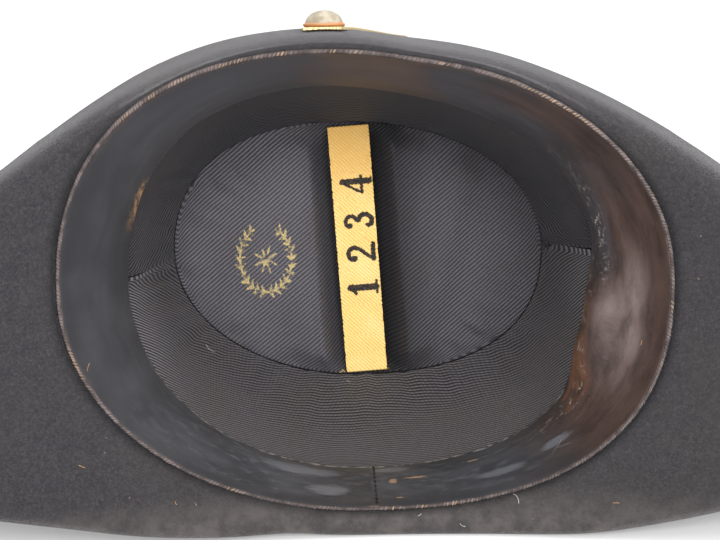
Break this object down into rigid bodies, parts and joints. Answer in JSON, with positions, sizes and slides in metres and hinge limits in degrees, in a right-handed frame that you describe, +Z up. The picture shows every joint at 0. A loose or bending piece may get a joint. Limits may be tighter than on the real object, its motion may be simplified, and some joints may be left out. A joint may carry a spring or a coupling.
{
  "type": "bicorne",
  "caption": "Black felt bicorne lying on one turned-up flap, with leather sweatband, twill lining, ribbon across the tip, braid strap and domed button.",
  "frame": {"origin": "on the table, under the middle of the hat's bounding box", "axes": "+X from point to point, +Y from the head opening into the crown, +Z up from the table the hat lies on"},
  "size_m": [0.45, 0.1872, 0.18],
  "materials": {
    "felt": "matte brushed felt",
    "leather": "worn dyed leather",
    "lining": "ribbed twill",
    "ribbon": "yellow twill",
    "gilt_braid": "woven metal thread",
    "gilt": "worn gilding"
  },
  "bodies": {
    "root": {"crown": "felt", "brim": "felt", "sweatband": "leather", "lining_side_upper": "lining", "lining_side_lower": "lining", "lining_tip": "lining", "number_ribbon": "ribbon", "braid_loop": "gilt_braid", "button": "gilt"}
  },
  "joints": []
}
